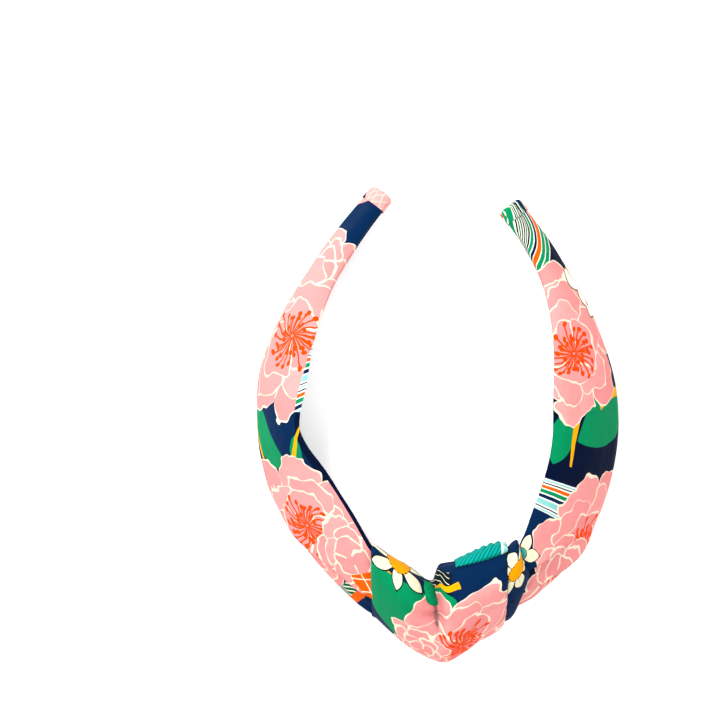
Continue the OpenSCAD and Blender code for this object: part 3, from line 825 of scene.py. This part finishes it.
# %% Skins
def skin(name, grid, along_mm, round_mm, material, fold=None, tube=False):
    rows, ring = grid.shape[:2]
    index = np.arange(rows * ring).reshape(rows, ring)
    if tube:
        a, b = index, np.roll(index, -1, 0)
        u_a, u_b, v_a, v_b = along_mm, np.roll(along_mm, -1, 0), round_mm, np.roll(round_mm, -1, 0)
    else:
        a, b = index[:-1], index[1:]
        u_a, u_b, v_a, v_b = along_mm[:-1], along_mm[1:], round_mm[:-1], round_mm[1:]

    def after(v):
        turned = np.roll(v, -1, 1).copy()
        turned[:, -1] = v[:, -1] + (v[:, -1] - v[:, -2])
        return turned

    quads = np.stack([a, np.roll(a, -1, 1), np.roll(b, -1, 1), b], -1).reshape(-1, 4)
    us = np.stack([u_a, np.roll(u_a, -1, 1), np.roll(u_b, -1, 1), u_b], -1).reshape(-1, 4)
    vs = np.stack([v_a, after(v_a), after(v_b), v_b], -1).reshape(-1, 4)
    points = grid.reshape(-1, 3)
    faces, flat = quads.tolist(), np.stack([us, vs], -1).reshape(-1, 2)
    if not tube:
        for row, flip in ((0, True), (rows - 1, False)):
            middle = len(points)
            inward = grid[1 if row == 0 else row - 1].mean(0) * 0.4 + grid[row].mean(0) * 0.6
            points = np.vstack([points, inward])
            here, there, hub = index[row], np.roll(index[row], -1), np.full(ring, middle)
            fan = np.stack([there, here, hub] if flip else [here, there, hub], -1)
            faces += fan.tolist()
            u, v = along_mm[row], round_mm[row]
            corner = [np.stack([np.roll(u, -1), after(round_mm)[row]], -1), np.stack([u, v], -1)]
            corner = corner if flip else corner[::-1]
            flat = np.vstack([flat, np.stack([*corner, np.stack([u, v], -1)], 1).reshape(-1, 2)])
    p = points[quads]
    volume = np.einsum("ij,ij->", p[:, 0], np.cross(p[:, 1], p[:, 2])) + np.einsum(
        "ij,ij->", p[:, 0], np.cross(p[:, 2], p[:, 3]))
    mesh = bpy.data.meshes.new(name)
    mesh.from_pydata((points * MM).tolist(), [], faces)
    layer = mesh.uv_layers.new(name="cloth")
    layer.data.foreach_set("uv", (flat / 100).astype(np.float32).ravel())
    values = np.zeros(len(points), np.float32) + NO_FOLD
    if fold is not None:
        values[:rows * ring] = fold.ravel()
    mesh.attributes.new("fold", "FLOAT", "POINT").data.foreach_set("value", values)
    if volume < 0:
        mesh.flip_normals()
    mesh.shade_smooth()
    mesh.materials.append(material)
    thing = bpy.data.objects.new(name, mesh)
    bpy.context.scene.collection.objects.link(thing)
    return thing


# %% [markdown]
# ## Sewing the sleeves
# Where a sleeve runs into the knot, the wide cloth is gathered, so it is folded over in deep
# pleats, one on the left and two on the right, with small gathers beside them. A pleat is a step
# in the cloth: the upper layer stands proud by its own thickness and the air under
# it. Elsewhere the cloth only ripples a little. The back has a sewn seam, which pulls a groove.

# %% The two sleeves
LEFT_PLEATS = [(2.2, [(-70, -18), (-58, -12), (-45, -5.5), (-33, -2), (-20, 5)], (-72, -58))]
RIGHT_PLEATS = [(2.2, [(20, 4), (32, -2), (43, -10), (58, -19)], (62, 48)),
                (1.6, [(20, 17), (32, 10), (44, 2), (54, -5)], (54, 38))]


def sleeve(side, name, material, pleats):
    points, u, v = sleeve_surface(side)
    normals = ring_normals(points) * -side
    from_knot = np.abs(u) - 22
    lift = 0.45 * np.exp(-from_knot / 13) * ripples(u / 26, v / 5.5)
    lift += 0.22 * ripples(u / 70, v / 24 + side) + 0.12 * ripples(u / 30 + 2, v / 13)
    fold = np.full(v.shape, NO_FOLD)
    for k, (height, line, fade) in enumerate(pleats):
        spots = sorted(line)
        above = v - np.interp(u, [s[0] for s in spots], [s[1] for s in spots])
        strength = height * ramp(fade[0], fade[1], u) * (np.abs(v) < 21)
        lift += strength * (ramp(-0.7, 0.6, above) * np.exp(-np.maximum(above, 0) / 8) - 0.35 * np.exp(
            -np.maximum(-above, 0) / 3) * (above < 0) - 0.5 * np.exp(-(((above + 0.8) / 0.55) ** 2)))
        if k == 0:
            fold = np.where((np.abs(v) < 24) & (np.abs(u) < max(abs(f) for f in fade)),
                            np.clip(above, -NO_FOLD, NO_FOLD), NO_FOLD)
    lift -= 0.35 * np.exp(-((np.abs(v) - np.abs(v).max(1, keepdims=True)) / 0.8) ** 2)
    points = points + normals * lift[..., None]
    points[..., 2] = np.maximum(points[..., 2], 0.04)
    return skin(name, points, u, v, material, fold), points, normals


left_sleeve, left_points, left_normals = sleeve(-1, "left_sleeve", LEFT_CLOTH, LEFT_PLEATS)
right_sleeve, right_points, right_normals = sleeve(1, "right_sleeve", RIGHT_CLOTH, RIGHT_PLEATS)
print("sleeve faces", len(left_sleeve.data.polygons), len(right_sleeve.data.polygons))

# %% [markdown]
# Each sleeve's raw end is turned in and glued. The left end is pressed flat. The right
# one is gathered, so its rim is fluted.

# %% The turned-in ends
TIP_RING = 96


def tip(side, name, material, flutes):
    t = np.linspace(0, 1, 36)[:, None]
    turn = (np.arange(TIP_RING) / TIP_RING + 0.5) % 1 * 2 * math.pi
    q = side * (0.969 + 0.031 * t) + 0 * turn
    near_end = np.clip((t - 0.72) / 0.28, 0, 1)
    shrink = 0.45 + 0.55 * np.sqrt(np.clip(1 - near_end**2, 0, 1))
    width, front, back = sleeve_width(q) + 0.5, sleeve_front(q) + 0.3, sleeve_back(q) + 0.3
    w, n = bowed(turn + 0 * q, width, front, back, 6)
    flute = 1 + flutes * (0.3 + 0.7 * t) * np.sin(turn * 13 + 2 * t)
    dent = 1 - 0.05 * np.sin(turn * 3 + 1) * t
    grid = place(q, w * shrink * dent * (1 + 0.3 * (flute - 1)), n * shrink * flute)
    grid[..., 2] = np.maximum(grid[..., 2], 0.04)
    return skin(name, grid, mm_at(q), round_rings(grid, TIP_RING // 2), material)


left_tip = tip(-1, "left_end_fold", TIP_LEFT_CLOTH, 0.03)
right_tip = tip(1, "right_end_fold", TIP_RIGHT_CLOTH, 0.16)
print("end folds", len(left_tip.data.polygons), len(right_tip.data.polygons))

# %% [markdown]
# ## Winding the knot
# The wrap is a tube with a lining that hugs the strip. The side band is the last turn of cloth
# before the right sleeve, and it bulges over it. The teal fold is the end of the wrap, tucked
# behind it, and the underpass shows at the bottom of the valley.

# %% The knot's cloth
def lined(name, grid, x, v, material, x0, x1, fold=None):
    inner_x = np.linspace(x1, x0, 10)
    inner = hole_at(inner_x, knot_turn)
    all_x = np.vstack([x, inner_x[:, None] + 0 * knot_turn])
    all_v = np.vstack([v, np.repeat(v[-1:], 10, 0)])
    if fold is not None:
        fold = np.vstack([fold, np.full(inner.shape[:2], NO_FOLD)])
    return skin(name, np.vstack([grid, inner]), all_x, all_v, material, fold, tube=True)


wrap_grid, wrap_x, wrap_v, wrap_a = wrap_surface()
from_valley = wrap_x - VALLEY_X - valley_sway(wrap_a)
depth = valley(VALLEY_X + valley_sway(wrap_a), wrap_a)
# The wrap's fold value only places painted shade: a dark line down the valley's crease where the valley is
# deep, pushed out of reach where it is shallow.
valley_shade_fold = np.clip(from_valley / 1.3, -NO_FOLD, NO_FOLD)
valley_shade_fold += np.where(from_valley < -0.8, -8, 8) * np.clip(1 - depth / 4, 0, 1)
wrap = lined("knot_wrap_cloth", wrap_grid, wrap_x, wrap_v, KNOT_CLOTH, -KNOT_LEFT + 0.4, WRAP_RIGHT - 0.4,
             valley_shade_fold)

BAND_START = 23.6
t = np.linspace(0, 1, 44)[:, None]
a = knot_turn[None, :] + 0 * t
reach = 28.6 + 3.6 * np.exp(-(((np.degrees(a) - 22) / 36) ** 2))
band_x = BAND_START + (reach - BAND_START) * t
up, out = np.sin(a), np.cos(a)
profile = np.maximum(0, 1 - np.abs(up) ** 2.4) ** (1 / 1.8)
belly = 0.93 + 0.07 * np.sin(math.pi * t) - 0.16 * np.clip((t - 0.7) / 0.3, 0, 1) ** 2.5
belly = belly + 0.012 * ripples(t * 0.7, a * 1.6) - 0.12 * below(a)
band_w = up * 0.93 * KNOT_W / 2 * belly
band_n = np.where(out > 0, 0.62 * KNOT_FRONT, 0.84 * KNOT_BACK) * profile * np.sign(out) * belly
band_grid = knot_place(band_x, band_w, band_n)
band_v = round_rings(band_grid, KNOT_FACE)
side_band = lined("knot_side_band_cloth", band_grid, band_x, band_v, BAND_CLOTH, 24, 28)


def pad(name, x0, x1, a0, a1, thick, lift, material, ruffle, thin=0.55, sway=0.0, rows=70, columns=60):
    """A folded flap that lies on the wrap."""
    x = np.linspace(x0, x1, rows)[:, None] + np.zeros(columns)
    b = np.radians(np.linspace(a0, a1, columns))[None, :] + 0 * x
    swell = np.sqrt(np.clip(np.sin(np.pi * (x - x0) / (x1 - x0)) * np.sin(
        np.pi * (b - b.min()) / (b.max() - b.min())), 0, 1))
    pleated = (thin + (1 - thin) * (x - x0) / (x1 - x0)) * (1 + ruffle * np.sin(x * 2.3 + 2 * np.sin(b * 5)))
    x = x + sway * np.sin(2 * b + 0.6)
    outer, inner = wrap_point(x, b, lift + 0.8 + thick * swell * pleated), wrap_point(x, b, lift)
    grid = np.concatenate([outer, inner[:, ::-1]], 1)
    v = np.cumsum(np.linalg.norm(np.diff(outer, axis=1, prepend=outer[:, :1]), axis=-1), 1)
    return skin(name, grid, np.concatenate([x, x[:, ::-1]], 1), np.concatenate([v, v[:, ::-1]], 1), material)


inner_fold = pad("knot_inner_fold_cloth", 5, WRAP_RIGHT - 0.3, 101, 150, 4.8, 0.2, FOLD_CLOTH, 0.12, 0.2)
underpass = pad("knot_underpass_cloth", VALLEY_X - 4.2, VALLEY_X + 0.2, 50, 104, 2.2, -1.3, UNDER_CLOTH,
                0.05, 0.45, 1.4)
print("knot faces", [len(o.data.polygons) for o in (wrap, side_band, inner_fold, underpass)])

# %% [markdown]
# ## Inside the sleeves
# The plastic strip is one piece. It is drawn as two halves that meet inside the knot, one for each
# arm. The foam is drawn the same way. Both run inside the cloth, and pass through the closed end
# of each sleeve where it is tucked into the knot.

# %% Strip and foam
def plain(name, colour, roughness, scale, depth):
    material = bpy.data.materials.new(name)
    material.use_nodes = True
    tree = material.node_tree
    shader = tree.nodes["Principled BSDF"]
    where = tree.nodes.new("ShaderNodeTexCoord")
    grain = cloudy(tree, where.outputs["Object"], scale, 4.0)
    join(tree, over(tree, grain, colour, [c * 0.85 for c in colour[:3]] + [1]), shader.inputs["Base Color"])
    shader.inputs["Roughness"].default_value = roughness
    bump = tree.nodes.new("ShaderNodeBump")
    bump.inputs["Distance"].default_value = depth
    join(tree, grain, bump.inputs["Height"])
    join(tree, bump.outputs[0], shader.inputs["Normal"])
    return material


PLASTIC = plain("Moulded strip", paint("#e8e5de"), 0.4, 300, 0.00005)
FOAM = plain("Open foam", paint("#efe6c8"), 0.95, 1500, 0.0003)
THREAD = plain("Sewing thread", paint("#122b4a"), 0.7, 4000, 0.0001)


def bar(side, name, material, end, share, n0, n1):
    q = side * (crown_to(end) * np.linspace(0, 1, 180))[:, None]
    turn = (np.arange(32) / 32 + 0.5) % 1 * 2 * math.pi
    near = np.clip((crown_to(end) - np.abs(q)) / 0.02, 0, 1)
    width = share * core_width(q) * (0.35 + 0.65 * np.sqrt(np.clip(1 - (1 - near) ** 2, 0, 1)))
    v, h = np.sin(turn) + 0 * q, np.maximum(0, 1 - np.abs(np.sin(turn)) ** 14) * np.sign(np.cos(turn))
    grid = place(q + 0 * v, v * width / 2, (n0 + n1) / 2 + h * (n1 - n0) / 2)
    return skin(name, grid, mm_at(q) + 0 * v, v * width, material)


def crown_to(share):
    return CROWN_SHARE + share * (1 - CROWN_SHARE)


cores = [bar(s, f"plastic_strip_{n}", PLASTIC, 0.955, 1.0, -CORE_T / 2, CORE_T / 2)
         for s, n in ((-1, "left"), (1, "right"))]
foams = [bar(s, f"foam_strip_{n}", FOAM, 0.85, FOAM_SHARE, CORE_T / 2 + 0.25,
             CORE_T / 2 + 0.25 + FOAM_T * 0.9)
         for s, n in ((-1, "left"), (1, "right"))]
print("strip and foam", [len(o.data.polygons) for o in cores + foams])

# %% [markdown]
# ## Stitches
# A seam is the same stitch again and again along a line, which is a job for Geometry Nodes: the
# line is resampled, one short thread is set on each point along it, and the result is made real.

# %% Stitch generator
def stitch_nodes():
    tree = bpy.data.node_groups.new("Stitches along a line", "GeometryNodeTree")
    face = tree.interface
    face.new_socket("Geometry", in_out="INPUT", socket_type="NodeSocketGeometry")
    for label, kind, value in (("Count", "NodeSocketInt", 18), ("Length", "NodeSocketFloat", 0.003),
                               ("Thread", "NodeSocketFloat", 0.0003), ("Turn", "NodeSocketFloat", 0.0),
                               ("Uneven", "NodeSocketFloat", 0.08)):
        face.new_socket(label, in_out="INPUT", socket_type=kind).default_value = value
    face.new_socket("Material", in_out="INPUT", socket_type="NodeSocketMaterial")
    face.new_socket("Geometry", in_out="OUTPUT", socket_type="NodeSocketGeometry")
    new = tree.nodes.new
    enter, leave = new("NodeGroupInput"), new("NodeGroupOutput")
    link = tree.links.new
    curve, spots = new("GeometryNodeMeshToCurve"), new("GeometryNodeCurveToPoints")
    link(enter.outputs["Geometry"], curve.inputs[0])
    link(curve.outputs[0], spots.inputs[0])
    link(enter.outputs["Count"], spots.inputs["Count"])
    thread = new("GeometryNodeMeshUVSphere")
    thread.inputs["Segments"].default_value, thread.inputs["Rings"].default_value = 14, 10
    thread.inputs["Radius"].default_value = 1.0
    half = new("ShaderNodeMath")
    half.operation = "MULTIPLY"
    half.inputs[1].default_value = 0.5
    link(enter.outputs["Length"], half.inputs[0])
    size = new("ShaderNodeCombineXYZ")
    link(enter.outputs["Thread"], size.inputs[0])
    link(enter.outputs["Thread"], size.inputs[1])
    link(half.outputs[0], size.inputs[2])
    turned = new("FunctionNodeRotateRotation")
    turned.rotation_space = "LOCAL"
    spin, wobble, total = new("ShaderNodeCombineXYZ"), new("FunctionNodeRandomValue"), new("ShaderNodeMath")
    low = new("ShaderNodeMath")
    low.operation = "MULTIPLY"
    low.inputs[1].default_value = -1
    link(enter.outputs["Uneven"], low.inputs[0])
    link(low.outputs[0], wobble.inputs[2])
    link(enter.outputs["Uneven"], wobble.inputs[3])
    wobble.inputs["Seed"].default_value = 4
    link(enter.outputs["Turn"], total.inputs[0])
    link(wobble.outputs[1], total.inputs[1])
    link(total.outputs[0], spin.inputs[0])
    as_turn = new("FunctionNodeEulerToRotation")
    link(spin.outputs[0], as_turn.inputs[0])
    link(spots.outputs["Rotation"], turned.inputs[0])
    link(as_turn.outputs[0], turned.inputs[1])
    lay = new("GeometryNodeInstanceOnPoints")
    link(spots.outputs[0], lay.inputs["Points"])
    link(thread.outputs[0], lay.inputs["Instance"])
    link(turned.outputs[0], lay.inputs["Rotation"])
    link(size.outputs[0], lay.inputs["Scale"])
    real, smooth = new("GeometryNodeRealizeInstances"), new("GeometryNodeSetShadeSmooth")
    coat = new("GeometryNodeSetMaterial")
    link(lay.outputs[0], real.inputs[0])
    link(real.outputs[0], smooth.inputs[0])
    link(smooth.outputs[0], coat.inputs[0])
    link(enter.outputs["Material"], coat.inputs["Material"])
    link(coat.outputs[0], leave.inputs[0])
    return tree


STITCHES = stitch_nodes()


def sew(name, path, **given):
    """Stitches along a path of points in mm, as one plain mesh."""
    line = bpy.data.meshes.new(name + " line")
    line.from_pydata((np.asarray(path) * MM).tolist(), [(i, i + 1) for i in range(len(path) - 1)], [])
    thing = bpy.data.objects.new(name, line)
    bpy.context.scene.collection.objects.link(thing)
    modifier = thing.modifiers.new("stitches", "NODES")
    modifier.node_group = STITCHES
    sockets = {s.name: s.identifier for s in STITCHES.interface.items_tree if s.in_out == "INPUT"}
    for label, value in {**given, "Material": THREAD}.items():
        modifier[sockets[label]] = value
    bpy.context.view_layer.update()
    evaluated = thing.evaluated_get(bpy.context.evaluated_depsgraph_get())
    made = bpy.data.meshes.new_from_object(evaluated)
    thing.modifiers.clear()
    thing.data = made
    made.name = name
    return thing


seams, tip_seams = [], []
for side, points, normals, label in ((-1, left_points, left_normals, "left"),
                                     (1, right_points, right_normals, "right")):
    back = points[:, 0] + normals[:, 0] * 0.15
    seams.append(sew(f"back_seam_{label}", back[36:-20], Count=46, Length=0.0023, Thread=0.0003))
    q = side * 0.968
    low_n = np.array(-float(sleeve_back(np.array(q))) - 0.55)
    row = [place(np.array(q), np.array(w), low_n) for w in np.linspace(-3.4, 3.4, 9)]
    tip_seams.append(sew(f"end_stitches_{label}", row, Count=5, Length=0.0014, Thread=0.00026))
tack = [wrap_point(np.array(x), np.array(math.radians(178.0)), 0.2) for x in np.linspace(8, 20, 12)]
tacks = sew("knot_tacks", tack, Count=4, Length=0.003, Thread=0.0003, Turn=0.5)
print("stitch faces", [len(o.data.polygons) for o in seams + tip_seams + [tacks]])

# %% [markdown]
# ## Bodies, and the CAD parts that the cloth replaces
# The knot and its tacks stay on the crown, and each turned-in end with its stitches goes on its
# arm. In the frame each sleeve bends from the crown to its arm over the first 45 mm, with the strip,
# the foam and the seam inside it; here those pieces only have their placement applied to their
# points, and go on no body. The CAD parts that these pieces stand for are hidden.

# %% Bodies and hidden CAD parts
for side, arm, pieces in ((-1, "left_arm", (left_sleeve, cores[0], foams[0], seams[0])),
                          (1, "right_arm", (right_sleeve, cores[1], foams[1], seams[1]))):
    for piece in pieces:
        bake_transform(piece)
for piece in (wrap, side_band, inner_fold, underpass, tacks):
    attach(piece, "crown")
for arm, pieces in (("left_arm", (left_tip, tip_seams[0])), ("right_arm", (right_tip, tip_seams[1]))):
    for piece in pieces:
        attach(piece, arm)
for piece, node, slot in (
        (left_sleeve, "cover_left", "printed_cloth"), (right_sleeve, "cover_right", "printed_cloth"),
        (left_tip, "tip_fold_left", "tip_cloth_left"), (right_tip, "tip_fold_right", "tip_cloth_right"),
        (wrap, "knot_wrap", "knot_cloth"), (underpass, "knot_underpass", "underpass_cloth"),
        (inner_fold, "knot_inner_fold", "inner_fold_cloth"), (side_band, "knot_side_band", "side_band_cloth"),
        (cores[0], "core_band", "core_plastic"), (cores[1], "core_band", "core_plastic"),
        (foams[0], "foam_strip", "foam"), (foams[1], "foam_strip", "foam"),
        (seams[0], "seam_stitches_left", "thread"), (seams[1], "seam_stitches_right", "thread"),
        (tip_seams[0], "tip_stitches_left", "thread"), (tip_seams[1], "tip_stitches_right", "thread"),
        (tacks, "knot_tack_stitches", "thread")):
    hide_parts(node)

# %% [markdown]
# ## The table, the light and the camera
# The headband lies on white paper under a wide soft light, seen from straight above.

# %% Stage
paper = bpy.data.materials.new("White paper")
paper.use_nodes = True
shader = paper.node_tree.nodes["Principled BSDF"]
shader.inputs["Base Color"].default_value = (0.93, 0.93, 0.93, 1)
shader.inputs["Roughness"].default_value = 0.9
shader.inputs["Specular IOR Level"].default_value = 0.1
shader.inputs["Emission Color"].default_value = (1, 1, 1, 1)
shader.inputs["Emission Strength"].default_value = 0.3
floor_mesh = bpy.data.meshes.new("Table")
floor_mesh.from_pydata([(-2, -2, 0), (2, -2, 0), (2, 2, 0), (-2, 2, 0)], [], [(0, 1, 2, 3)])
floor_mesh.materials.append(paper)
floor = bpy.data.objects.new("Table", floor_mesh)
bpy.context.scene.collection.objects.link(floor)

world = bpy.data.worlds.new("Soft white room")
world.use_nodes = True
world.node_tree.nodes["Background"].inputs[0].default_value = (1, 1, 1, 1)
world.node_tree.nodes["Background"].inputs[1].default_value = 0.9
bpy.context.scene.world = world


def lamp(name, place_at, aim, size, power):
    data = bpy.data.lights.new(name, "AREA")
    data.shape, data.size, data.energy = "DISK", size, power
    thing = bpy.data.objects.new(name, data)
    thing.location = place_at
    from_to = np.array(aim) - np.array(place_at)
    pitch = math.acos(-from_to[2] / np.linalg.norm(from_to))
    thing.rotation_euler = (pitch, 0, math.atan2(from_to[0], -from_to[1]) + math.pi)
    bpy.context.scene.collection.objects.link(thing)


lamp("Key light", (-0.5, 0.6, 0.9), (0, 0, 0), 0.5, 18)
lamp("Fill light", (0.5, -0.6, 1.3), (0, 0, 0), 1.2, 7)
camera = bpy.data.objects.new("Camera", bpy.data.cameras.new("Camera"))
camera.location = (-0.0295, 0.0231, 0.71)
camera.data.lens, camera.data.sensor_width = 93.8, 36
camera.data.clip_start, camera.data.clip_end = 0.05, 10
bpy.context.scene.collection.objects.link(camera)
bpy.context.scene.camera = camera
bpy.context.scene.view_settings.view_transform = "Standard"
bpy.context.scene.view_settings.look = "None"
